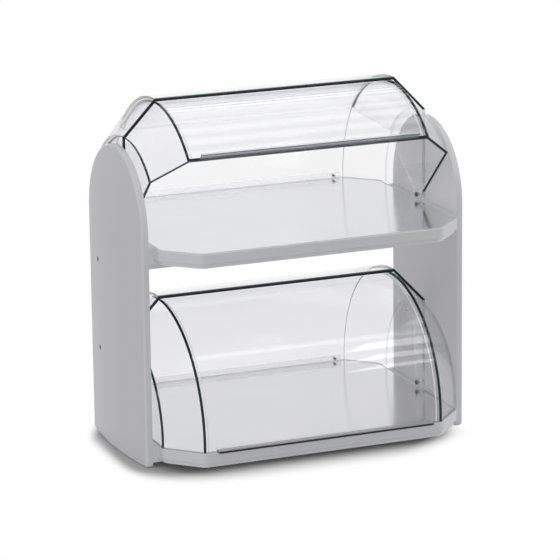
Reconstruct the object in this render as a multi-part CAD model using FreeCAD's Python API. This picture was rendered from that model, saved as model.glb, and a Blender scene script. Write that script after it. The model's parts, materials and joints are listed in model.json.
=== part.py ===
import FreeCAD, Part
import math
import os

from FreeCAD import Vector

# Two-tier countertop pastry case, in millimetres, +Z up.
# The origin is on the counter, midway between the side panels and on the plane of the lid pivots.
# The front, where the lids open, faces -Y. Left and right are as seen from the front.

# Glazing: one faceted profile, turned about each tier's pivot axis, gives every clear pane.
sheet = 4.0
lid_radius = 180.0
barrel_half_length = 188.0
corner_run = 47.7
corner_drop = 49.5
lid_gap = 1.5

# Tiers: heights of the pivot axes, and how each lid is cut.
lower_pivot_height = 41.0
pivot_spacing = 296.0
pivot_above_floor = 8.0
lid_rest_gap = 0.5
lid_rear_tilt = 5.5
upper_lid_angle = 43.5
hood_lip = 8.0

# Grip along the lower edge of each lid.
grip_reach = 12.0
grip_thickness = 4.0
grip_end_inset = 18.0
grip_edge_round = 1.2

# Trays: a grey rim round a polished floor sheet, on a set-back bottom board.
tray_front_lip = 2.0
tray_rear_lip = 12.0
tray_side_lip = 0.3
rim_height = 16.0
rim_width = 20.0
rim_land = 5.0
rim_edge_round = 1.5
floor_thickness = 1.5
bottom_height = 6.0
bottom_inset = 4.0
tray_corner_round = 14.0

# Retaining strip behind each hood.
strip_height = 9.0
strip_thickness = 4.0
strip_end_inset = 3.0
strip_screw_end_inset = 14.0
strip_screw_diameter = 3.0
strip_screw_head = 5.5
strip_screw_head_height = 1.6

# Side panels: flat inside, bowed outside, with a round arch.
panel_gap = 2.5
panel_depth = 228.0
panel_edge_thickness = 10.0
panel_bow = 9.0
panel_arch_height = 344.0
panel_edge_round = 4.0
panel_foot_round = 7.0

# Cleats that carry the trays on the side panels.
ledge_thickness = 3.0
ledge_reach = 26.0

# Pivots.
bush_diameter = 6.0
bush_play = 0.05
bush_bore_fit = 0.05
pivot_spacer_diameter = 9.0
bush_end_play = 0.3
washer_diameter = 15.0
pivot_screw_diameter = 3.5
pivot_head_diameter = 7.0
pivot_head_height = 2.4
pivot_socket_width = 3.2
pivot_socket_depth = 1.4
pivot_screw_reach = 7.0
insert_diameter = 6.0
insert_length = 8.0

# Cross rail under the upper tray, and the screws seen on the panels' outer faces.
rail_thickness = 12.0
rail_height = 52.0
rail_screw_drop = 29.0
side_screw_set_back = 60.0
side_head_diameter = 8.0
side_head_height = 3.0
side_head_fit = 0.2
side_head_sink = 0.6
side_socket_width = 4.0
side_socket_depth = 1.8
rail_screw_diameter = 4.0
rail_screw_reach = 25.0
hood_screw_margin = 17.0
hood_screw_diameter = 3.5
hood_screw_reach = 3.0
hood_spacer_diameter = 10.0

# Screws that hold the cleats to the panels and the trays to the cleats.
cleat_screw_diameter = 3.5
cleat_screw_head = 7.0
cleat_screw_head_height = 2.2
cleat_screw_reach = 7.0
cleat_screw_spacing = 90.0
tray_screw_diameter = 3.0
tray_screw_head = 6.0
tray_screw_head_height = 1.8
tray_screw_spacing = 92.0
tray_screw_inset = 14.0

# Values that follow from the sizes above.
ear_outer_face = barrel_half_length + corner_run
ear_radius = lid_radius - corner_drop
hood_out = lid_gap + sheet
hood_radius = lid_radius + hood_out
ear_inner_face = ear_outer_face - sheet
cheek_inner_face = ear_outer_face + lid_gap
cheek_outer_face = cheek_inner_face + sheet
panel_inner_face = cheek_outer_face + panel_gap
panel_edge_face = panel_inner_face + panel_edge_thickness
bow_radius = (panel_depth ** 2 / 4 + panel_bow ** 2) / (2 * panel_bow)
tray_half_width = ear_outer_face + tray_side_lip
cone_turn = math.atan2(corner_drop, corner_run)
cheek_radius = ear_radius + hood_out * math.tan((math.pi / 2 - cone_turn) / 2)
hood_screw_rise = math.sqrt((cheek_radius - hood_screw_margin) ** 2 - side_screw_set_back ** 2)
hood_screw_height = lower_pivot_height + hood_screw_rise
hub_radius = pivot_above_floor - lid_rest_gap
tray_height = rim_height + bottom_height
pivot_heights = {"lower": lower_pivot_height, "upper": lower_pivot_height + pivot_spacing}
lid_open = {"lower": 0.0, "upper": upper_lid_angle}
floor_heights = {tier: height - pivot_above_floor for tier, height in pivot_heights.items()}
tray_undersides = {tier: height - tray_height for tier, height in floor_heights.items()}
rail_top = tray_undersides["upper"] - ledge_thickness
rail_screw_height = rail_top - rail_screw_drop
reach = 2 * (lid_radius + grip_reach)
bush_hole = bush_diameter + 2 * bush_play
sides = {"left": -1, "right": 1}

axis_x = Vector(1, 0, 0)
axis_y = Vector(0, 1, 0)
axis_z = Vector(0, 0, 1)


def box(x_range, y_range, z_range):
    """A box between two values on each axis, given in either order."""
    low = [min(pair) for pair in (x_range, y_range, z_range)]
    size = [max(pair) - min(pair) for pair in (x_range, y_range, z_range)]
    return Part.makeBox(size[0], size[1], size[2], Vector(low[0], low[1], low[2]))


def rod(diameter, x_range, y, z):
    """A round bar along X."""
    start = Vector(min(x_range), y, z)
    return Part.makeCylinder(diameter / 2, max(x_range) - min(x_range), start, axis_x)


def hexagon(width, x_range, y, z):
    """A six-sided bar along X, this wide across its flats."""
    turns = [math.radians(60 * step) for step in range(6)]
    radius = width / math.sqrt(3)
    corners = [Vector(min(x_range), y + radius * math.cos(turn), z + radius * math.sin(turn)) for turn in turns]
    return prism(corners, Vector(max(x_range) - min(x_range), 0, 0))


def post(diameter, x, y, z_range):
    """A round bar along Z."""
    start = Vector(x, y, min(z_range))
    return Part.makeCylinder(diameter / 2, max(z_range) - min(z_range), start, axis_z)


def prism(points, direction):
    """A solid from a polygon, pushed along a direction."""
    return Part.Face(Part.makePolygon(points + points[:1])).extrude(direction)


def is_level(edge):
    """Whether an edge runs level, rather than upright."""
    return abs(edge.tangentAt(edge.FirstParameter).z) < 0.5


def bow_face(y):
    """Where a side panel's bowed outer face lies in X."""
    return panel_edge_face + panel_bow - bow_radius + math.sqrt(bow_radius ** 2 - y ** 2)


def on_side(shape, side):
    """A shape drawn on the right, or its mirror image for the left."""
    if side > 0:
        return shape
    return shape.mirror(Vector(0, 0, 0), axis_x)


def pair(shape):
    """A shape and its mirror image as one group."""
    return Part.makeCompound([on_side(shape, side) for side in sides.values()])


def at_pivot(shape, tier, opened=0.0):
    """A shape drawn about the X axis, turned open and moved to a tier's pivot axis."""
    placed = shape.copy()
    placed.rotate(Vector(0, 0, 0), axis_x, -opened)
    placed.translate(Vector(0, 0, pivot_heights[tier]))
    return placed


# Glazing profile, as (x, radius) points about the pivot axis.

def barrel_end(out):
    """Where the barrel meets the corner pane, on the lid's outer profile moved outwards."""
    return barrel_half_length + out * math.tan(cone_turn / 2), lid_radius + out


def cheek_end(out):
    """Where the corner pane meets the flat side pane."""
    return ear_outer_face + out, ear_radius + out * math.tan((math.pi / 2 - cone_turn) / 2)


def turned(points):
    """A ring about the X axis from an (x, radius) outline."""
    corners = [Vector(x, 0, radius) for x, radius in points]
    face = Part.Face(Part.makePolygon(corners + corners[:1]))
    return face.revolve(Vector(0, 0, 0), axis_x, 360)


def barrel_ring(out):
    """The ring that a lid's or hood's curved front pane is cut from."""
    outer_x, outer_radius = barrel_end(out)
    inner_x, inner_radius = barrel_end(out - sheet)
    return turned([(-outer_x, outer_radius), (outer_x, outer_radius),
                   (inner_x, inner_radius), (-inner_x, inner_radius)])


def corner_ring(out):
    """The cone that a sloping corner pane is cut from."""
    return turned([barrel_end(out), cheek_end(out), cheek_end(out - sheet), barrel_end(out - sheet)])


def side_disc(out):
    """The disc that a flat ear or cheek is cut from."""
    outer_x, outer_radius = cheek_end(out)
    inner_x, inner_radius = cheek_end(out - sheet)
    return turned([(outer_x, 0), (outer_x, outer_radius), (inner_x, inner_radius), (inner_x, 0)])


def lid_space():
    """Room kept by a closed lid: above its lower edge and ahead of its rear edge, round the hub."""
    tilt = math.radians(lid_rear_tilt)
    bend = -(math.pi / 2 + tilt) / 2
    front = Vector(-reach, -reach, -hub_radius)
    under = Vector(-reach, 0, -hub_radius)
    behind = Vector(-reach, hub_radius * math.cos(bend), hub_radius * math.sin(bend))
    rear = Vector(-reach, hub_radius * math.cos(tilt), -hub_radius * math.sin(tilt))
    rear_top = rear + Vector(0, math.sin(tilt), math.cos(tilt)) * reach
    front_top = Vector(-reach, -reach, rear_top.z)
    edges = [Part.makeLine(front, under), Part.Arc(under, behind, rear).toShape(),
             Part.makeLine(rear, rear_top), Part.makeLine(rear_top, front_top),
             Part.makeLine(front_top, front)]
    return Part.Face(Part.Wire(edges)).extrude(Vector(2 * reach, 0, 0))


def hood_space():
    """Room kept by a hood: above the tray floor and behind its front edge."""
    return box((-reach, reach), (-hood_lip, reach), (-pivot_above_floor, reach))


def lid_grip():
    """Finger strip that stands out from a lid's lower edge and seats on its curve."""
    half = barrel_half_length - grip_end_inset
    strip = box((-half, half), (-lid_radius - grip_reach, -lid_radius + sheet),
                (-hub_radius, -hub_radius + grip_thickness))
    front_edges = [edge for edge in strip.Edges
                   if edge.BoundBox.YMax < -lid_radius - grip_reach + sheet and edge.BoundBox.XLength > half]
    strip = strip.makeFillet(grip_edge_round, front_edges)
    return strip.cut(rod(2 * lid_radius, (-reach, reach), 0, 0))


def lid(tier):
    """Panes and grip of a lid, drawn closed and then turned to its resting angle."""
    space = lid_space()
    pieces = {"barrel": barrel_ring(0).common(space), "grip": lid_grip()}
    corner = corner_ring(0).common(space)
    ear = side_disc(0).common(space).cut(rod(bush_hole, (0, reach), 0, 0))
    for name, side in sides.items():
        pieces[name + "_corner"] = on_side(corner, side)
        pieces[name + "_ear"] = on_side(ear, side)
    return {f"{tier}_lid_{name}": at_pivot(shape, tier, lid_open[tier]) for name, shape in pieces.items()}


def strip_screws():
    """Flush screws through the foot of a hood's rear pane into the strip behind it."""
    x = barrel_half_length - strip_screw_end_inset
    z = strip_height / 2 - pivot_above_floor
    start = lid_radius + lid_gap
    shank = Part.makeCylinder(strip_screw_diameter / 2, sheet + strip_thickness, Vector(x, start, z), axis_y)
    head = Part.makeCylinder(strip_screw_head / 2, strip_screw_head_height, Vector(x, start, z), axis_y)
    return pair(shank.fuse(head).removeSplitter())


def hood(tier):
    """Fixed panes behind and over a lid."""
    space = hood_space()
    pieces = {"barrel": barrel_ring(hood_out).common(space).cut(strip_screws())}
    corner = corner_ring(hood_out).common(space)
    cheek = side_disc(hood_out).common(space).cut(rod(bush_hole, (0, reach), 0, 0))
    if tier == "lower":
        screw_range = (cheek_outer_face - hood_screw_reach, reach)
        cheek = cheek.cut(rod(hood_screw_diameter, screw_range, side_screw_set_back, hood_screw_rise))
    for name, side in sides.items():
        pieces[name + "_corner"] = on_side(corner, side)
        pieces[name + "_cheek"] = on_side(cheek, side)
    return {f"{tier}_hood_{name}": at_pivot(shape, tier) for name, shape in pieces.items()}


# Trays.

def tray_prism(inset, z_range):
    """A tray's eight-sided plan, drawn in by an inset, with its corners rounded."""
    side = tray_half_width - inset
    front_x, front_y = barrel_end(tray_front_lip - inset)
    rear_x, rear_y = barrel_end(tray_rear_lip - inset)
    front_side_y = front_y - (side - front_x) * math.tan(cone_turn)
    rear_side_y = rear_y - (side - rear_x) * math.tan(cone_turn)
    right = [(front_x, -front_y), (side, -front_side_y), (side, rear_side_y), (rear_x, rear_y)]
    left = [(-x, y) for x, y in reversed(right)]
    low = min(z_range)
    solid = prism([Vector(x, y, low) for x, y in right + left], Vector(0, 0, max(z_range) - low))
    upright = [edge for edge in solid.Edges if not is_level(edge)]
    return solid.makeFillet(tray_corner_round, upright)


def tray(tier):
    """Rim, floor sheet and bottom board of one tray."""
    top = floor_heights[tier]
    rim_low = top - rim_height
    low = tray_undersides[tier]
    floor = tray_prism(rim_land, (top - floor_thickness, top))
    rim = tray_prism(0, (rim_low, top))
    outline_edges = [edge for edge in rim.Edges if is_level(edge)]
    rim = rim.makeFillet(rim_edge_round, outline_edges)
    rim = rim.cut(floor).cut(tray_prism(rim_width, (rim_low, top)))
    bottom = tray_prism(bottom_inset, (low, rim_low)).cut(tray_screws(tier))
    return {f"{tier}_tray_rim": rim, f"{tier}_tray_floor": floor, f"{tier}_tray_bottom": bottom}


def hood_strip(tier):
    """Strip on the tray behind the foot of the hood's rear pane, and the screws that hold the pane to it."""
    half = barrel_half_length - strip_end_inset
    strip = box((-half, half), (hood_radius, hood_radius + strip_thickness),
                (-pivot_above_floor, strip_height - pivot_above_floor))
    pieces = {"hood_strip": strip.cut(strip_screws()), "hood_strip_screws": strip_screws()}
    return {f"{tier}_{name}": at_pivot(shape, tier) for name, shape in pieces.items()}


# Screws and cleats.

def cleat_screws(tier):
    """Screws through both cleats of a tier into the side panels."""
    height = floor_heights[tier] - rim_height / 2
    head_end = tray_half_width + cleat_screw_head_height
    tip = panel_inner_face + cleat_screw_reach
    solids = []
    for side in sides.values():
        for y in (-cleat_screw_spacing, 0, cleat_screw_spacing):
            shank = rod(cleat_screw_diameter, (tray_half_width, tip), y, height)
            head = rod(cleat_screw_head, (tray_half_width, head_end), y, height)
            solids.append(on_side(shank.fuse(head).removeSplitter(), side))
    return Part.makeCompound(solids)


def tray_screws(tier):
    """Screws up through the cleats' ledges into the tray."""
    seat = tray_undersides[tier] - ledge_thickness
    low = seat - tray_screw_head_height
    tip = tray_undersides[tier] + bottom_height
    x = tray_half_width - tray_screw_inset
    solids = []
    for side in sides.values():
        for y in (-tray_screw_spacing / 2, tray_screw_spacing / 2):
            shank = post(tray_screw_diameter, x, y, (low, tip))
            head = post(tray_screw_head, x, y, (low, seat))
            solids.append(on_side(shank.fuse(head).removeSplitter(), side))
    return Part.makeCompound(solids)


def cleats(tier):
    """Angle-shaped bearers: an upright leg on the side panel and a ledge under the tray."""
    half = panel_depth / 2
    under = tray_undersides[tier]
    low = under - ledge_thickness
    leg = box((tray_half_width, panel_inner_face), (-half, half), (low, floor_heights[tier]))
    ledge = box((tray_half_width - ledge_reach, tray_half_width), (-half, half), (low, under))
    cleat = leg.fuse(ledge).removeSplitter()
    fixings = Part.makeCompound([cleat_screws(tier), tray_screws(tier)])
    return {f"{tier}_{name}_cleat": on_side(cleat, side).cut(fixings) for name, side in sides.items()}


# Pivots.

def pivot(tier):
    """Bushes, washers, spacers, screws and threaded inserts of both pivots of a tier."""
    bush_end = ear_inner_face - bush_end_play
    bore = rod(pivot_screw_diameter + 2 * bush_bore_fit, (0, reach), 0, 0)
    sleeve_hole = rod(bush_hole, (0, reach), 0, 0)
    bush = rod(bush_diameter, (bush_end, panel_inner_face), 0, 0).cut(bore)
    washer = rod(washer_diameter, (ear_outer_face, cheek_inner_face), 0, 0).cut(sleeve_hole)
    spacer = rod(pivot_spacer_diameter, (cheek_outer_face, panel_inner_face), 0, 0).cut(sleeve_hole)
    head_face = bush_end - pivot_head_height
    head = rod(pivot_head_diameter, (head_face, bush_end), 0, 0)
    screw = rod(pivot_screw_diameter, (bush_end, panel_inner_face + pivot_screw_reach), 0, 0)
    socket = hexagon(pivot_socket_width, (head_face, head_face + pivot_socket_depth), 0, 0)
    screw = screw.fuse(head).removeSplitter().cut(socket)
    insert = rod(insert_diameter, (panel_inner_face, panel_inner_face + insert_length), 0, 0)
    insert = insert.cut(rod(pivot_screw_diameter, (0, reach), 0, 0))
    pieces = {"bushes": bush, "washers": washer, "spacers": spacer, "screws": screw, "inserts": insert}
    return {f"{tier}_pivot_{name}": pair(at_pivot(shape, tier)) for name, shape in pieces.items()}


# Side panels, cross rail and the screws through the panels.

def side_head_seat():
    """Where the underside of a side screw's head lies in X, with its face just under the bowed face."""
    return bow_face(side_screw_set_back) - side_head_sink - side_head_height


def side_screw(diameter, tip, height):
    """A screw from a panel's outer face towards the middle of the case, with a hexagon socket."""
    head_face = side_head_seat() + side_head_height
    shank = rod(diameter, (tip, side_head_seat()), side_screw_set_back, height)
    head = rod(side_head_diameter, (side_head_seat(), head_face), side_screw_set_back, height)
    socket_range = (head_face - side_socket_depth, head_face)
    socket = hexagon(side_socket_width, socket_range, side_screw_set_back, height)
    return shank.fuse(head).removeSplitter().cut(socket)


def panel_fixings():
    """The rail, its screws, and the screws and spacers that steady the lower hood."""
    rail = box((-panel_inner_face, panel_inner_face),
               (side_screw_set_back - rail_thickness / 2, side_screw_set_back + rail_thickness / 2),
               (rail_top - rail_height, rail_top))
    rail_screw = side_screw(rail_screw_diameter, panel_inner_face - rail_screw_reach, rail_screw_height)
    hood_screw = side_screw(hood_screw_diameter, cheek_outer_face - hood_screw_reach, hood_screw_height)
    spacer = rod(hood_spacer_diameter, (cheek_outer_face, panel_inner_face),
                 side_screw_set_back, hood_screw_height)
    return {"cross_rail": rail.cut(pair(rail_screw)), "rail_screws": pair(rail_screw),
            "hood_screws": pair(hood_screw), "hood_spacers": pair(spacer.cut(hood_screw))}


def bowed_slab():
    """A slab wider than a side panel, bowed across its depth and domed the same way over the arch."""
    wide = panel_depth / 2 + panel_edge_round
    inner_front = Vector(panel_inner_face, -wide, 0)
    inner_rear = Vector(panel_inner_face, wide, 0)
    outer_front = Vector(bow_face(wide), -wide, 0)
    outer_rear = Vector(bow_face(wide), wide, 0)
    plan = [Part.makeLine(inner_rear, inner_front), Part.makeLine(inner_front, outer_front),
            Part.Arc(outer_front, Vector(bow_face(0), 0, 0), outer_rear).toShape(),
            Part.makeLine(outer_rear, inner_rear)]
    upright = Part.Face(Part.Wire(plan)).extrude(Vector(0, 0, panel_arch_height))
    arch_centre = Vector(bow_face(0) - bow_radius, 0, panel_arch_height)
    ball = Part.makeSphere(bow_radius, arch_centre)
    ball.rotate(arch_centre, axis_z, 180)
    top = box((panel_inner_face, reach), (-wide, wide), (panel_arch_height, panel_arch_height + wide))
    return upright.fuse(ball.common(top)).removeSplitter()


def panel_blank():
    """A side panel before drilling: the bowed slab cut to an upright outline with a round arch."""
    half = panel_depth / 2
    foot = half - panel_foot_round
    foot_bend = half - panel_foot_round * (1 - math.sqrt(0.5))
    foot_rise = panel_foot_round * (1 - math.sqrt(0.5))
    rear_shoulder = Vector(0, half, panel_arch_height)
    front_shoulder = Vector(0, -half, panel_arch_height)
    rear_heel = Vector(0, half, panel_foot_round)
    front_heel = Vector(0, -half, panel_foot_round)
    rear_foot = Vector(0, foot, 0)
    front_foot = Vector(0, -foot, 0)
    outline = [Part.Arc(front_shoulder, Vector(0, 0, panel_arch_height + half), rear_shoulder).toShape(),
               Part.makeLine(rear_shoulder, rear_heel),
               Part.Arc(rear_heel, Vector(0, foot_bend, foot_rise), rear_foot).toShape(),
               Part.makeLine(rear_foot, front_foot),
               Part.Arc(front_foot, Vector(0, -foot_bend, foot_rise), front_heel).toShape(),
               Part.makeLine(front_heel, front_shoulder)]
    blank = bowed_slab().common(Part.Face(Part.Wire(outline)).extrude(Vector(reach, 0, 0)))
    outer_faces = [face for face in blank.Faces if face.CenterOfMass.x > panel_edge_face]
    edges = [edge for face in outer_faces for edge in face.Edges]
    rim = [edge for edge in edges if sum(edge.isSame(other) for other in edges) == 1]
    return blank.makeFillet(panel_edge_round, rim)


def side_panels():
    """Both side panels, drilled for the inserts, the cleats' screws and the screws from outside."""
    panel = panel_blank()
    for tier, height in pivot_heights.items():
        panel = panel.cut(rod(insert_diameter, (0, panel_inner_face + insert_length), 0, height))
        panel = panel.cut(cleat_screws(tier))
    recess = side_head_diameter + 2 * side_head_fit
    screws = ((rail_screw_diameter, rail_screw_height), (hood_screw_diameter, hood_screw_height))
    for diameter, height in screws:
        panel = panel.cut(rod(diameter, (0, reach), side_screw_set_back, height))
        panel = panel.cut(rod(recess, (side_head_seat(), reach), side_screw_set_back, height))
    return {f"{name}_side_panel": on_side(panel, side) for name, side in sides.items()}


def write(pieces):
    """Save each named piece as its own file."""
    os.makedirs("parts", exist_ok=True)
    for name, shape in pieces.items():
        shape.exportStep(f"parts/{name}.step")


def main():
    pieces = side_panels()
    pieces.update(panel_fixings())
    for tier in pivot_heights:
        pieces.update(tray(tier))
        pieces.update(cleats(tier))
        pieces[f"{tier}_cleat_screws"] = cleat_screws(tier)
        pieces[f"{tier}_tray_screws"] = tray_screws(tier)
        pieces.update(pivot(tier))
        pieces.update(hood(tier))
        pieces.update(hood_strip(tier))
        pieces.update(lid(tier))
    write(pieces)


main()
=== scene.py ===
# %% [markdown]
# # A two-tier pastry case with roll-top lids
#
# The case stands on a shop counter: two grey side panels carry two trays, and over each tray sit a
# fixed clear hood and a clear lid that rolls back inside it. The solids come from a CAD model, so
# the shapes are finished before Blender starts. What is left for this lesson is everything that
# light does: satin grey, polished steel, clear sheet with painted shade on its cut edges, a counter
# and a studio.

# %% Load the solids
import json
import math

import bpy
from mathutils import Matrix, Vector


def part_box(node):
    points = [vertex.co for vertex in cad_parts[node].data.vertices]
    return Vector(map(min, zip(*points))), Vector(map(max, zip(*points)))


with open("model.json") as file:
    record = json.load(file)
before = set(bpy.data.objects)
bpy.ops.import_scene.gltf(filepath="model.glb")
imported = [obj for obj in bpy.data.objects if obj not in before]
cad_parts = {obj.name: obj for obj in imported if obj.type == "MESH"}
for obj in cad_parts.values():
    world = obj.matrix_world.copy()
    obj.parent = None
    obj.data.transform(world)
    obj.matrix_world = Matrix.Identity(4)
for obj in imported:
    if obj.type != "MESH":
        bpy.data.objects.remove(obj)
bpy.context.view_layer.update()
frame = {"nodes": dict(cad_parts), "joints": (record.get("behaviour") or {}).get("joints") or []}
solids = frame["nodes"]

# %% [markdown]
# ## Shader maths as sums
#
# A material in Blender is a graph of nodes, and a graph is slow to read. It could be drawn by hand in
# the node editor, or built with one long list of links. Here a small class stands for one socket and
# knows how to add, multiply and compare, so `1 - edge` adds the Math node that does it. One more
# method adds every other kind of node: settings go in first, then values or links.


# %% A socket that does sums
class Wire:
    """One socket in a node tree. Sums on wires add Math nodes."""

    def __init__(self, tree, socket=None):
        self.tree = tree
        self.socket = socket

    def node(self, kind, settings, sockets, output=0):
        """Add a node, make its settings, then set or link its sockets."""
        made = self.tree.nodes.new("ShaderNode" + kind)
        for name, value in settings.items():
            setattr(made, name, value)
        for name, value in sockets.items():
            if isinstance(value, Wire):
                self.tree.links.new(value.socket, made.inputs[name])
            else:
                made.inputs[name].default_value = value
        return Wire(self.tree, made.outputs[output] if made.outputs else None)

    def calc(self, operation, first, second=0.0):
        return self.node("Math", {"operation": operation}, {0: first, 1: second})

    def __add__(self, other):
        return self.calc("ADD", self, other)

    def __radd__(self, other):
        return self.calc("ADD", other, self)

    def __sub__(self, other):
        return self.calc("SUBTRACT", self, other)

    def __rsub__(self, other):
        return self.calc("SUBTRACT", other, self)

    def __mul__(self, other):
        return self.calc("MULTIPLY", self, other)

    def __rmul__(self, other):
        return self.calc("MULTIPLY", other, self)

    def __pow__(self, other):
        return self.calc("POWER", self, other)

    def __rpow__(self, other):
        return self.calc("POWER", other, self)

    def __or__(self, other):
        return self.calc("MAXIMUM", self, other)

    def __ror__(self, other):
        return self.calc("MAXIMUM", other, self)

    def __lt__(self, other):
        return self.calc("LESS_THAN", self, other)

    def __gt__(self, other):
        return self.calc("GREATER_THAN", self, other)

    def __abs__(self):
        return self.calc("ABSOLUTE", self)


print("sums that also start with a number:", [name for name in vars(Wire) if name.startswith("__r")])

# %% [markdown]
# ## Starting and using a finish
#
# Every finish starts the same way: a new material with an empty tree. It ends by going into the
# material slots of the solids that have that finish. The slots already exist, so only what they hold
# changes, and the mesh stays as the CAD model made it. Patterns could come from images laid over
# unwrapped faces. Here they are worked out from where a point lies on its own piece, in metres, so
# their scale is right without unwrapping, and they stay with a piece when it moves.


# %% Helpers for finishes
def new_finish(name):
    """A material with an empty tree, and a wire to start from."""
    finish = bpy.data.materials.new(name)
    finish.use_nodes = True
    finish.node_tree.nodes.clear()
    return finish, Wire(finish.node_tree)


def dress(finish, *names):
    """Put a finish on solids."""
    for name in names:
        for slot in solids[name].material_slots:
            slot.material = finish
    print(finish.name, "on", len(names), "solids,", len(finish.node_tree.nodes), "nodes")


def both_tiers(*names):
    """The names of pieces that each tier has."""
    return [tier + "_" + name for tier in ("lower", "upper") for name in names]


def own_place(start):
    """Where a point lies on its piece, in metres."""
    return start.node("TexCoord", {}, {}, "Object")


def grain(start, place, size, detail=3.0):
    """Noise with lumps of about this size in metres, from 0 to 1."""
    return start.node("TexNoise", {}, {"Vector": place, "Scale": 1 / size, "Detail": detail})


def tint(start, share, first, second):
    """A colour between two, by a share that changes over the surface."""
    return start.node("Mix", {"data_type": "RGBA"}, {0: share, 6: first, 7: second}, 2)


print("on both tiers:", both_tiers("tray_rim", "tray_floor"))

# %% [markdown]
# ## Satin grey panels and trays
#
# The side panels and tray rims are moulded in a cool light grey with a satin skin. A flat colour
# would look like a drawing, so three things vary: the colour drifts a little over a hand's width, the
# gloss drifts with it, and a fine orange-peel texture breaks up the highlights. The texture could be
# modelled, but it is far less than a millimetre deep, so a bump in the shader is enough.

# %% Satin grey
drift_size = 0.09
gloss_drift = 0.16
peel_size = 0.0011
peel_depth = 0.0003


def satin_grey(name, pale, deep, roughness, peel):
    """Grey between two tones, with this roughness on average and orange peel this strong."""
    finish, start = new_finish(name)
    place = own_place(start)
    drift = grain(start, place, drift_size)
    skin = grain(start, place, peel_size, detail=2.0)
    bump = start.node("Bump", {}, {"Strength": peel, "Distance": peel_depth, "Height": skin})
    colour = tint(start, drift, deep, pale)
    gloss = drift * gloss_drift + (roughness - gloss_drift / 2)
    shader = start.node(
        "BsdfPrincipled",
        {},
        {"Base Color": colour, "Roughness": gloss, "Normal": bump, "Specular IOR Level": 0.4},
    )
    start.node("OutputMaterial", {}, {"Surface": shader})
    return finish


panel_pale = (0.475, 0.475, 0.488, 1)
panel_deep = (0.435, 0.435, 0.447, 1)
panel_satin = satin_grey("panel_satin", panel_pale, panel_deep, roughness=0.45, peel=0.1)
dress(panel_satin, "left_side_panel", "right_side_panel")
tray_pale = (0.475, 0.478, 0.49, 1)
tray_deep = (0.435, 0.438, 0.45, 1)
tray_satin = satin_grey("tray_satin", tray_pale, tray_deep, roughness=0.4, peel=0.08)
tray_pieces = both_tiers("tray_rim", "tray_bottom", "left_cleat", "right_cleat")
dress(tray_satin, *tray_pieces, "cross_rail")

# %% [markdown]
# ## Polished steel floors
#
# Each tray has a sheet of polished steel let into its rim. It mirrors the hood and the side panels,
# a little softly. An even roughness would look like a clean mirror that was put out of focus. Rolled
# sheet has a faint grain along its length and is cloudy from wiping, so one noise that is stretched
# along X and one that isn't drive the roughness together.

# %% Polished steel
rolled_stretch = (0.04, 1, 1)
streak_size = 0.0016
cloud_size = 0.06
least_blur = 0.11
blur_range = 0.05
steel_deep = (0.75, 0.753, 0.757, 1)
steel_pale = (0.79, 0.793, 0.797, 1)


def polished_steel():
    """A soft mirror with streaks along X and clouds a few fingers wide."""
    finish, start = new_finish("polished_steel")
    place = own_place(start)
    rolled = start.node("Mapping", {}, {"Vector": place, "Scale": rolled_stretch})
    streaks = grain(start, rolled, streak_size)
    clouds = grain(start, place, cloud_size)
    roughness = streaks * blur_range + clouds * blur_range + least_blur
    colour = tint(start, clouds, steel_deep, steel_pale)
    shader = start.node(
        "BsdfPrincipled",
        {},
        {"Base Color": colour, "Metallic": 1.0, "Roughness": roughness},
    )
    start.node("OutputMaterial", {}, {"Surface": shader})
    return finish


dress(polished_steel(), *both_tiers("tray_floor"))

# %% [markdown]
# ## Clear sheet with cut edges painted dark
#
# The hoods and lids are bent and cut from clear sheet. Through its broad faces nearly everything
# shows, with a little gloss that grows at a slant. Through its cut edges light has come the long way
# along the sheet, so they look almost black, with a green cast. Solid glass could give both, but it
# needs many bounces and stays noisy, so here the dark of the edges is painted shade.
#
# A lighter way is to ask at each point where on its pane it lies. All panes of a tier are turned about
# one pivot axis, so a broad face points some way between outwards from that axis and along X, and
# where the normal is far from that, the surface is a cut edge or a mitre. The measures for this come
# from the solids, so they follow if the case is made in another size.

# %% Where the panes lie
joint_of = {joint["child"]: joint for joint in frame["joints"]}
tier_pivot = {tier: joint_of[tier + "_lid"]["pos_m"][2] for tier in ("lower", "upper")}
opened_at_rest = {tier: -math.radians(joint_of[tier + "_lid"]["range_deg"][0]) for tier in tier_pivot}


def pane_measures(part, flat):
    """Where the seams and the front edge are, from the pivot axis: along X and out from it."""
    barrel_low, barrel_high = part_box("lower_" + part + "_barrel")
    flat_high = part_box("lower_" + part + "_right_" + flat)[1]
    radius = barrel_high.z - tier_pivot["lower"]
    flat_radius = flat_high.z - tier_pivot["lower"]
    return {
        "seam": barrel_high.x,
        "radius": radius,
        "flat": flat_high.x,
        "flat_radius": flat_radius,
        "lean": math.atan2(radius - flat_radius, flat_high.x - barrel_high.x),
        "foot": tier_pivot["lower"] - barrel_low.z,
        "lip": -barrel_low.y,
    }


measures = {"lid": pane_measures("lid", "ear"), "hood": pane_measures("hood", "cheek")}
for part, values in measures.items():
    print(part, {name: round(value, 4) for name, value in values.items()})

# %% [markdown]
# ### Directions on a pane
#
# A shader knows the place and the normal of the point it draws. Where a ray meets the sheet from
# within, Blender turns the normal round, so it is turned back first. Then the normal is split in
# three: along X, outwards from the pivot axis, and around it the way a lid closes. All three belong to
# the piece and not to the viewer, so the marks stay in place from any side and as the lid moves.

# %% Helpers for vectors
along_x = (1.0, 0.0, 0.0)


def vector(start, operation, first, second=(0.0, 0.0, 0.0)):
    """A vector worked out from one or two others."""
    return start.node("VectorMath", {"operation": operation}, {0: first, 1: second})


def share_along(start, first, second):
    """How far one vector goes along another."""
    return start.node("VectorMath", {"operation": "DOT_PRODUCT"}, {0: first, 1: second}, "Value")


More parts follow.
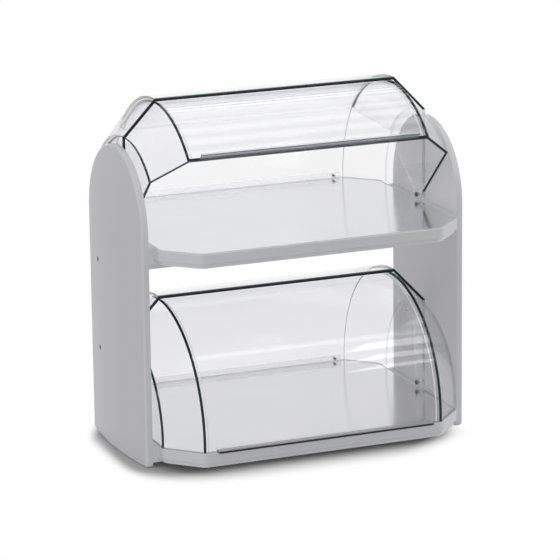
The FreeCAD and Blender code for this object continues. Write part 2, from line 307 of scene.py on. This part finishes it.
def outer_normal(start):
    """The normal that points out of the sheet, also where it is seen from within."""
    seen = start.node("TexCoord", {}, {}, "Normal")
    turned = start.node("NewGeometry", {}, {}, "Backfacing")
    return start.node("VectorMath", {"operation": "SCALE"}, {0: seen, "Scale": 1 - 2 * turned})


def pane_directions(start, pivot):
    """Where a point lies from the pivot axis, and how far its normal points each way."""
    place = own_place(start)
    facing = outer_normal(start)
    from_pivot = vector(start, "SUBTRACT", place, (0.0, 0.0, pivot))
    arm = vector(start, "MULTIPLY", from_pivot, (0.0, 1.0, 1.0))
    outward = vector(start, "NORMALIZE", arm)
    around = vector(start, "CROSS_PRODUCT", along_x, outward)
    along = share_along(start, place, along_x)
    return {
        "along": along,
        "arm": arm,
        "reach": start.node("VectorMath", {"operation": "LENGTH"}, {0: arm}, "Value"),
        "facing": facing,
        "side": share_along(start, facing, along_x) * start.calc("SIGN", along),
        "outside": share_along(start, facing, outward),
        "sweep": share_along(start, facing, around),
    }


print("pivot axes at", {tier: round(pivot, 4) for tier, pivot in tier_pivot.items()})

# %% [markdown]
# ### Broad faces and cut edges
#
# With these directions a face is broad if its normal points nearly the way that its pane leans. What
# is left over is a cut edge, and one that points backwards is a rear edge. The panes could carry marks
# painted on their faces instead, but the test works on the solids as they are.

# %% Faces of a pane
broad_share = 0.7
rear_share = -0.5


def pane_faces(start, pivot, lean):
    """The directions on a pane, and which of its faces a point is on."""
    spot = pane_directions(start, pivot)
    broad = spot["side"] * math.sin(lean) + spot["outside"] * math.cos(lean)
    edge = abs(broad) < broad_share
    spot["across"] = abs(spot["along"])
    spot["outer_face"] = broad > broad_share
    spot["inner_face"] = broad < -broad_share
    spot["edge"] = edge
    spot["rear_edge"] = edge * (spot["sweep"] < rear_share)
    return spot


print("a broad face is within", round(math.degrees(math.acos(broad_share))), "degrees of its lean")

# %% [markdown]
# ### Cement in the seams
#
# The panes meet in mitres that are run with cement. Each mitre, and a narrow line on the outer face
# beside it, is painted dark as shade, black on the lids and a faint brown on the hoods. A lid's barrel
# has one pale line more, inside, a painted glint beside each seam. Strips of mesh could be laid there,
# but bands of colour in the sheet can't come loose from it. A half width of 0 draws no line. The right
# ears and cheeks stand before a grey panel, so their painted seam shade is paler, and where a look has
# two shares, the first is for the left and the second for the right.

# %% Lines of painted seam shade
# edge_black is the painted shade of cut edges, seams and grip edges.
edge_black = (0.004, 0.016, 0.015, 1)
lid_painted_seams = {
    "colour": edge_black,
    "seam_share": 1.0,
    "flat_shares": (1.0, 0.1),
    "seam_half": 0.0021,
    "flat_half": 0.0008,
    # The glint keys place a pale painted highlight line inside the barrel beside each seam.
    "glint_inset": 0.0068,
    "glint_half": 0.001,
}
hood_painted_seams = {
    "colour": (0.16, 0.13, 0.12, 1),
    "seam_share": 0.55,
    "flat_shares": (0.25, 0.05),
    "seam_half": 0.0006,
    "flat_half": 0.0,
    "glint_inset": 0.0,
    "glint_half": 0.0,
}
painted_seams = {"lid": lid_painted_seams, "hood": hood_painted_seams}


def left_or_right(along, shares):
    """One share on the left of the case and another on the right."""
    left, right = shares
    return (along > 0) * (right - left) + left


def painted_seam_marks(spot, at, seam_paint):
    """Lines of painted shade on the outer face and mitres, a painted glint inside, and how solid the
    shaded lines and mitres are.
    """
    across = spot["across"]
    by_flat = across > (at["seam"] + at["flat"]) / 2
    past_barrel = across > at["seam"] - seam_paint["seam_half"]
    before_corner = across < at["seam"] + seam_paint["seam_half"] * math.cos(at["lean"])
    seam_band = past_barrel * before_corner
    flat_band = by_flat * (abs(spot["reach"] - at["flat_radius"]) < seam_paint["flat_half"])
    # Painted shade: a band on the outer face at each seam and flat edge, and the mitre itself. Painted
    # glint: a line inside.
    line = spot["outer_face"] * (seam_band | flat_band)
    mitre = spot["edge"] * (1 - spot["rear_edge"])
    glint_middle = at["seam"] - seam_paint["glint_inset"]
    painted_glint = spot["inner_face"] * (abs(across - glint_middle) < seam_paint["glint_half"])

    seam_share = seam_paint["seam_share"]
    flat_share = left_or_right(spot["along"], seam_paint["flat_shares"])
    line_share = line * (seam_band * seam_share | flat_band * flat_share)
    mitre_share = mitre * (by_flat * (flat_share - seam_share) + seam_share)
    return line, mitre, painted_glint, line_share | mitre_share


print("half widths of seams:", {part: seam_paint["seam_half"] for part, seam_paint in painted_seams.items()})

# %% [markdown]
# ### The sheet itself
#
# The front edge is painted black as shade. It is found from the plane it was cut on: for a lid the
# plane that meets the tray, turned by as much as the lid stands open, and for a hood the upright plane
# over the pivots. Seen at a slant, the dark edge also shows through the face next to it, so each pane
# says how wide a line of painted shade to draw there. The line stops short of a lid's hub. Rear edges
# catch the light, so they are painted pale as a highlight.
#
# What is drawn is a mix of two shaders. One lets light straight through with a slight tint. The other
# is a mirror on the broad faces, for the gloss, and plain colour where shade and highlights are
# painted on edges and seams.

# %% Clear sheet
# edge_pale is a painted highlight on rear edges and on the glint beside a lid's seams.
edge_pale = (0.72, 0.71, 0.7, 1)
edge_pale_share = 0.2
painted_glint_share = 0.85
hub_reach = 0.02
sheet_mirror = (0.95, 0.95, 0.95, 1)
sheet_clear = (0.957, 0.957, 0.962, 1)
gloss_square_on = 0.02
gloss_slant = 0.6
gloss_power = 5


def clear_sheet(name, pivot, lean, at, seam_paint, front):
    """Clear sheet whose outer face leans this far from outwards to along X, with painted edge shade and
    highlights.
    """
    finish, start = new_finish(name)
    spot = pane_faces(start, pivot, lean)
    line, mitre, painted_glint, seam_shade_share = painted_seam_marks(spot, at, seam_paint)
    front_plane = share_along(start, spot["arm"], front["normal"]) + front["drop"]
    front_edge = (front_plane < front["line"]) * (spot["reach"] > hub_reach)
    front_share = left_or_right(spot["along"], front["shares"])
    edge = spot["edge"]
    rear_edge = spot["rear_edge"]

    # Painted highlight on rear edges and glints, painted shade on seams, mitres and the front edge.
    colour = tint(start, rear_edge | painted_glint, sheet_mirror, edge_pale)
    colour = tint(start, mitre | line, colour, seam_paint["colour"])
    colour = tint(start, front_edge, colour, edge_black)
    mirror = 1 - (edge | line | front_edge | painted_glint)
    slant = start.node("LayerWeight", {}, {"Blend": 0.5}, "Facing")
    gloss = slant ** gloss_power * gloss_slant + gloss_square_on
    marked = (1 - front_edge) * seam_shade_share | front_edge * front_share
    solid = (1 - edge) * gloss | rear_edge * edge_pale_share | painted_glint * painted_glint_share | marked
    shader = start.node(
        "BsdfPrincipled",
        {},
        {"Base Color": colour, "Metallic": mirror, "Roughness": 0.04, "Specular IOR Level": 0.2},
    )
    through = start.node("BsdfTransparent", {}, {"Color": sheet_clear})
    pane = start.node("MixShader", {}, {0: solid, 1: through, 2: shader})
    start.node("OutputMaterial", {}, {"Surface": pane})
    return finish


print("gloss square on:", gloss_square_on, "and at a slant:", gloss_square_on + gloss_slant)

# %% [markdown]
# ### Five panes to a lid, five to a hood
#
# A lid has a barrel, two sloping corners and two flat ears, and a hood has cheeks in place of ears.
# Left and right are mirror images, so one finish serves both. One finish for all five could read the
# lean from the normal, but then a cut edge would pass for a face, so each kind of pane has its own.
# The lower lid is closed and its edge stands on the tray, so the painted shade on its front edge is
# narrow and half clear.

# %% Panes of both tiers
# Widths of the painted shade along each pane's front edge, and how solid it is.
front_lines = {
    "lower_lid": {"barrel": 0.0002, "corner": 0.0002, "ear": 0.0002},
    "upper_lid": {"barrel": 0.0036, "corner": 0.0008, "ear": 0.0007},
    "lower_hood": {"barrel": 0.0045, "corner": 0.002, "cheek": 0.0015},
    "upper_hood": {"barrel": 0.0045, "corner": 0.002, "cheek": 0.0015},
}
front_shares = {"lower_lid": 0.4, "upper_lid": 1.0, "lower_hood": 1.0, "upper_hood": 1.0}
# The right cheeks stand before a grey panel, so their painted edge shade is paler.
right_cheek_share = 0.3


def dress_panes(tier, part, flat):
    """Give the five panes of a lid or a hood their sheet."""
    glazing = tier + "_" + part
    at = measures[part]
    opened = opened_at_rest[tier]
    cut = {"normal": (0.0, math.sin(opened), math.cos(opened)), "drop": at["foot"]}
    if part == "hood":
        cut = {"normal": (0.0, 1.0, 0.0), "drop": at["lip"]}
    kinds = (
        ("barrel", 0.0, ["barrel"]),
        ("corner", at["lean"], ["left_corner", "right_corner"]),
        (flat, math.pi / 2, ["left_" + flat, "right_" + flat]),
    )
    for kind, lean, pieces in kinds:
        left_share = front_shares[glazing]
        right_share = right_cheek_share if kind == "cheek" else left_share
        front = {**cut, "line": front_lines[glazing][kind], "shares": (left_share, right_share)}
        name = "_".join((glazing, kind, "sheet"))
        sheet = clear_sheet(name, tier_pivot[tier], lean, at, painted_seams[part], front)
        dress(sheet, *[glazing + "_" + piece for piece in pieces])


for tier in tier_pivot:
    dress_panes(tier, "lid", "ear")
    dress_panes(tier, "hood", "cheek")

# %% [markdown]
# ## Grips
#
# A strip of the same sheet is cemented to the foot of each lid as a finger grip. Its faces are rubbed
# matt. Its top is painted pale as light from above and its underside grey as shade, and its front
# edge is painted dark as shade where it stands upright. Beside the lid's own cut edge the strip is
# painted as dark as that edge. Lamps alone could make the pale and the grey, but the studio light is
# too even for that, so the way each face points on the lid at rest decides where light and shade are
# painted.

# %% Matt grips
upright = (0.0, 0.0, 1.0)
lid_edge_shade_reach = 0.0034
edge_shade_sweep = 0.7
grip_front_share = 0.5
lit_from = 0.35
lit_fully = 0.65
haze_size = 0.002
haze_gloss = 0.2
grip_gloss = 0.3
# grip_deep and grip_grey are the painted shade of the underside.
grip_deep = (0.12, 0.13, 0.142, 1)
grip_grey = (0.155, 0.165, 0.178, 1)
# grip_lit is the painted light on faces that point up.
grip_lit = (0.8, 0.81, 0.82, 1)
grip_cover = 0.7
lit_clears = 0.4


def fade(start, value, low, high):
    """0 up to the low value, 1 from the high one on, and smooth between them."""
    ends = {"Value": value, "From Min": low, "From Max": high}
    return start.node("MapRange", {"interpolation_type": "SMOOTHSTEP"}, ends)


def matt_grip(name, pivot):
    """Matt sheet, painted pale on top as light, grey below as shade, and dark as shade at the front and
    beside the lid's edge.
    """
    finish, start = new_finish(name)
    spot = pane_directions(start, pivot)
    # Painted light on faces that point up, painted shade at the front and beside the lid's edge.
    lit = fade(start, share_along(start, spot["facing"], upright), lit_from, lit_fully)
    beside_lid = spot["reach"] < measures["lid"]["radius"] + lid_edge_shade_reach
    lid_edge_shade = beside_lid * (spot["sweep"] > edge_shade_sweep)
    dark = (spot["outside"] > grip_front_share) * (1 - lit) | lid_edge_shade
    haze = grain(start, own_place(start), haze_size)
    colour = tint(start, lit, tint(start, haze, grip_deep, grip_grey), grip_lit)
    colour = tint(start, dark, colour, edge_black)
    gloss = haze * haze_gloss + grip_gloss
    shader = start.node(
        "BsdfPrincipled",
        {},
        {"Base Color": colour, "Roughness": gloss, "Specular IOR Level": 0.3},
    )
    through = start.node("BsdfTransparent", {}, {"Color": sheet_clear})
    cover = dark | grip_cover - lit * lit_clears
    strip = start.node("MixShader", {}, {0: cover, 1: through, 2: shader})
    start.node("OutputMaterial", {}, {"Surface": strip})
    return finish


for tier, pivot in tier_pivot.items():
    dress(matt_grip(tier + "_grip_sheet", pivot), tier + "_lid_grip")

# %% [markdown]
# ## Small hardware
#
# Screws, spacers, bushes and the white strip behind each hood are small, but close up they tell metal
# from plastic. Each could have a graph of its own. One recipe serves them all: a base colour with fine
# mottling, a roughness that follows it, and metal or not. The strip and the nylon let some light
# through. The side screws are bronzed in the panels and bare inside the case, and how far out a point
# lies tells which it is.

# %% Hardware recipe
panel_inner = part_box("right_side_panel")[0].x
worn_share = 0.85
mottle_gloss = 0.12
mottle_depth = 0.0002


def hardware(name, colour, roughness, size, metallic=0.0, cover=1.0, head=None):
    """Mottled metal or plastic, with a cover below 1 where light comes through."""
    finish, start = new_finish(name)
    place = own_place(start)
    mottle = grain(start, place, size)
    worn = [channel * worn_share for channel in colour] + [1]
    shade = tint(start, mottle, worn, [*colour, 1])
    if head:
        across = abs(share_along(start, place, along_x))
        shade = tint(start, across > panel_inner, shade, head)
    bump = start.node("Bump", {}, {"Strength": 0.06, "Distance": mottle_depth, "Height": mottle})
    shader = start.node(
        "BsdfPrincipled",
        {},
        {
            "Base Color": shade,
            "Metallic": metallic,
            "Roughness": mottle * mottle_gloss + (roughness - mottle_gloss / 2),
            "Normal": bump,
            "Alpha": cover,
        },
    )
    start.node("OutputMaterial", {}, {"Surface": shader})
    return finish


print("bronzed more than", round(panel_inner, 4), "m out")

# %% Plastics
opal = hardware("opal_strip", (0.86, 0.86, 0.86), roughness=0.3, size=0.004, cover=0.3)
dress(opal, *both_tiers("hood_strip"))
moulding = hardware("grey_moulding", (0.42, 0.425, 0.435), roughness=0.4, size=0.001)
dress(moulding, *both_tiers("pivot_spacers"))
nylon = hardware("natural_nylon", (0.6, 0.6, 0.58), roughness=0.38, size=0.001, cover=0.4)
dress(nylon, *both_tiers("pivot_bushes", "pivot_washers"), "hood_spacers")

# %% Metals
black_steel = hardware("black_steel", (0.03, 0.03, 0.03), roughness=0.35, size=0.0006, metallic=0.8)
dress(black_steel, *both_tiers("hood_strip_screws"))
dark_steel = hardware("dark_steel", (0.05, 0.05, 0.053), roughness=0.4, size=0.0006, metallic=0.3)
dress(dark_steel, *both_tiers("pivot_screws"))
zinc = hardware("zinc_plate", (0.72, 0.72, 0.7), roughness=0.32, size=0.0008, metallic=1.0)
dress(zinc, *both_tiers("cleat_screws", "tray_screws"))
brass = hardware("turned_brass", (0.78, 0.58, 0.3), roughness=0.3, size=0.0008, metallic=1.0)
dress(brass, *both_tiers("pivot_inserts"))
bronze = (0.06, 0.05, 0.05, 1)
side_screw = hardware(
    "bronzed_head", (0.5, 0.5, 0.5), roughness=0.45, size=0.0008, metallic=0.4, head=bronze
)
dress(side_screw, "rail_screws", "hood_screws")

# %% [markdown]
# ## The counter
#
# The case stands on a white sweep that goes on past the picture's edges, with a soft dark shadow close
# under it. The sweep could be a curved backdrop. Seen from this height a flat floor fills the whole
# picture, so a flat one does.

# %% Counter
counter_half = 20.0
counter_gap = 0.0002
signs = ((-1, -1), (1, -1), (1, 1), (-1, 1))
corners = [(x * counter_half, y * counter_half, -counter_gap) for x, y in signs]
counter_mesh = bpy.data.meshes.new("counter")
counter_mesh.from_pydata(corners, [], [(0, 1, 2, 3)])
counter = bpy.data.objects.new("counter", counter_mesh)
bpy.context.scene.collection.objects.link(counter)
print("counter:", 2 * counter_half, "m wide")

# %% [markdown]
# ### White, with a shadow close to the case
#
# The floor is a plain pale surface near the case, where it takes the shadow, and turns to even white
# further out, for the rays that make the picture and for those that steel and clear sheet send on.
# The pale zone is lit dimly, so its grey is partly cast shadow and partly painted shadow, whose
# outline is set by where the zone fades.
# One round fade would leave white under the corners or grey beside the panels. Here the fade follows
# the outline of the case: each side of it has a direction, the distance from the middle where the pale
# floor starts to fade and the one where it is white, and the fades of all sides are multiplied. The
# right side fades under the case, because the shadow falls to the left.

# %% Counter finish
pure_white = (1, 1, 1, 1)
counter_pale = (0.75, 0.75, 0.75, 1)
shadow_sides = (
    ((-0.997, 0.075, 0.0), 0.264, 0.294),
    ((-0.997, -0.075, 0.0), 0.27, 0.31),
    ((-0.866, -0.5, 0.0), 0.28, 0.34),
    ((-0.6, -0.8, 0.0), 0.244, 0.318),
    ((0.0, -1.0, 0.0), 0.146, 0.235),
    ((0.6, -0.8, 0.0), 0.22, 0.275),
    ((1.0, 0.0, 0.0), 0.2, 0.262),
    ((0.6, 0.8, 0.0), 0.225, 0.285),
    ((0.0, 1.0, 0.0), 0.156, 0.245),
    ((-0.6, 0.8, 0.0), 0.225, 0.285),
    ((-0.866, 0.5, 0.0), 0.26, 0.286),
)


def shown_rays(start):
    """1 for rays that make the picture or go on from steel and sheet, 0 for those that light."""
    seen = start.node("LightPath", {}, {}, "Is Camera Ray")
    mirrored = start.node("LightPath", {}, {}, "Is Glossy Ray")
    through = start.node("LightPath", {}, {}, "Is Transmission Ray")
    return seen | mirrored | through


counter_white, start = new_finish("counter_white")
place = own_place(start)
# near is 1 in the painted shadow zone and falls to 0 where the floor is white.
near = 1.0
for direction, near_end, far_end in shadow_sides:
    near = near * (1 - fade(start, share_along(start, place, direction), near_end, far_end))
pale = start.node("BsdfDiffuse", {}, {"Color": counter_pale})
white = start.node("Emission", {}, {"Color": pure_white, "Strength": 1.0})
sweep = start.node("MixShader", {}, {0: shown_rays(start) * (1 - near), 1: pale, 2: white})
start.node("OutputMaterial", {}, {"Surface": sweep})
counter_mesh.materials.append(counter_white)
print("shadow with", len(shadow_sides), "sides,", len(counter_white.node_tree.nodes), "nodes")

# %% [markdown]
# ## Studio light
#
# The case stands in even light from all round. A dome of lamps could give it, but the world does so
# with two nodes. What the picture, the steel and the sheet see of it is plain white. What lights the
# case and the counter is weaker, and the fills further down make up the rest.

# %% World
world_light = 0.42
studio = bpy.data.worlds.new("studio")
studio.use_nodes = True
studio.node_tree.nodes.clear()
start = Wire(studio.node_tree)
glow = start.node("Background", {}, {"Color": pure_white, "Strength": world_light})
backdrop = start.node("Background", {}, {"Color": pure_white, "Strength": 1.0})
sky = start.node("MixShader", {}, {0: shown_rays(start), 1: glow, 2: backdrop})
start.node("OutputWorld", {}, {"Surface": sky})
bpy.context.scene.world = studio
print("world lights at", world_light, "and shows at 1")

# %% [markdown]
# ### Strip lamps
#
# Rows of long lamps overhead run across the picture and show as soft stripes in the curved sheet. One
# large lamp would give a hard white patch there. The top rows show in the upper lid. Over the lower
# lid the upper tray hides them, so it has rows of its own, in front and to the right. All of them show
# in reflections alone and light nothing matt, so they can stand where their stripes look right.

# %% Lamps
lamp_height = 1.75
lamp_length = 2.6
front_rows = ((2.5, -2.3), (2.3, -1.65), (2.15, -1.1))
top_middle = 0.55
top_first = -0.76
top_spacing = 0.33
top_count = 9


def strip_lamp(name, middle, depth, width, power):
    """A long lamp that shines straight down, seen only in reflections."""
    light = bpy.data.lights.new(name, "AREA")
    light.shape = "RECTANGLE"
    light.size = lamp_length
    light.size_y = width
    light.energy = power
    lamp = bpy.data.objects.new(name, light)
    lamp.location = (middle, depth, lamp_height)
    lamp.visible_camera = False
    lamp.visible_diffuse = False
    bpy.context.scene.collection.objects.link(lamp)
    return lamp


lamps = []
for row, (middle, depth) in enumerate(front_rows):
    lamps.append(strip_lamp("front_lamp_" + str(row), middle, depth, width=0.28, power=12.0))
for row in range(top_count):
    depth = top_first + top_spacing * row
    lamps.append(strip_lamp("top_lamp_" + str(row), top_middle, depth, width=0.16, power=3.2))
print("lamps:", [(lamp.name, round(lamp.data.energy, 1)) for lamp in lamps])

# %% [markdown]
# ### Fills
#
# The panels and trays shade each other, so under the world alone the inside of the case would be much
# darker than the outside. A stronger world would also light the counter and wash out its shadow. Five
# weak suns, one from each side and one from above, cast no shadow and shine on the case alone, so a
# colour shows about as it is written on every face. Light linking, by a collection of the solids,
# keeps them off the counter.

# %% Side fills
fill_spread = math.radians(20)
fill_sides = {
    "left": ((1.0, 0.0, 0.0), 1.3),
    "right": ((-1.0, 0.0, 0.0), 1.3),
    "front": ((0.0, 1.0, 0.0), 1.5),
    "back": ((0.0, -1.0, 0.0), 1.5),
    "top": ((0.0, 0.0, -1.0), 1.1),
}
case_only = bpy.data.collections.new("case_only")
for solid in solids.values():
    case_only.objects.link(solid)


def side_fill(name, direction, strength):
    """Soft light on the case along one direction, without a shadow, so that it reaches inside."""
    light = bpy.data.lights.new(name, "SUN")
    light.energy = strength
    light.angle = fill_spread
    light.use_shadow = False
    fill = bpy.data.objects.new(name, light)
    fill.rotation_euler = Vector(direction).to_track_quat("-Z", "Y").to_euler()
    fill.visible_glossy = False
    fill.light_linking.receiver_collection = case_only
    bpy.context.scene.collection.objects.link(fill)
    return fill


fills = [side_fill("fill_" + side, *fill) for side, fill in fill_sides.items()]
print("fills:", [(fill.name, round(fill.data.energy, 2)) for fill in fills])

# %% [markdown]
# ## Camera
#
# The view is from the left of the front and a little above, with a long lens, so the uprights stay
# nearly upright. A camera could be aimed with a constraint, but then its roll would need another. Here
# it is built from its three axes: back towards the viewer, right and up, and a small roll turns the
# last two. A ray crosses many panes on its way, so it may pass more clear faces than Blender allows at
# first.

# %% Camera
camera_azimuth = math.radians(22.404)
camera_elevation = math.radians(14.594)
camera_roll = math.radians(0.658)
camera_distance = 4.95104
camera_target = Vector((0.005911, 0.0, 0.227791))
focal_length = 212.9
sensor_width = 36.0
clear_faces = 32

flat_right = Vector((math.cos(camera_azimuth), -math.sin(camera_azimuth), 0.0))
flat_back = Vector((-math.sin(camera_azimuth), -math.cos(camera_azimuth), 0.0))
back = math.cos(camera_elevation) * flat_back + math.sin(camera_elevation) * Vector(upright)
flat_up = back.cross(flat_right)
right = math.cos(camera_roll) * flat_right - math.sin(camera_roll) * flat_up
up = math.sin(camera_roll) * flat_right + math.cos(camera_roll) * flat_up
turn = Matrix((right, up, back)).transposed().to_4x4()

lens = bpy.data.cameras.new("camera")
lens.sensor_fit = "HORIZONTAL"
lens.sensor_width = sensor_width
lens.lens = focal_length
lens.clip_end = 100.0
camera = bpy.data.objects.new("camera", lens)
camera.matrix_world = Matrix.Translation(camera_target + camera_distance * back) @ turn
bpy.context.scene.collection.objects.link(camera)
bpy.context.scene.camera = camera
bpy.context.scene.view_settings.view_transform = "Standard"
bpy.context.scene.cycles.transparent_max_bounces = clear_faces
print("camera at", [round(value, 3) for value in camera.matrix_world.translation])
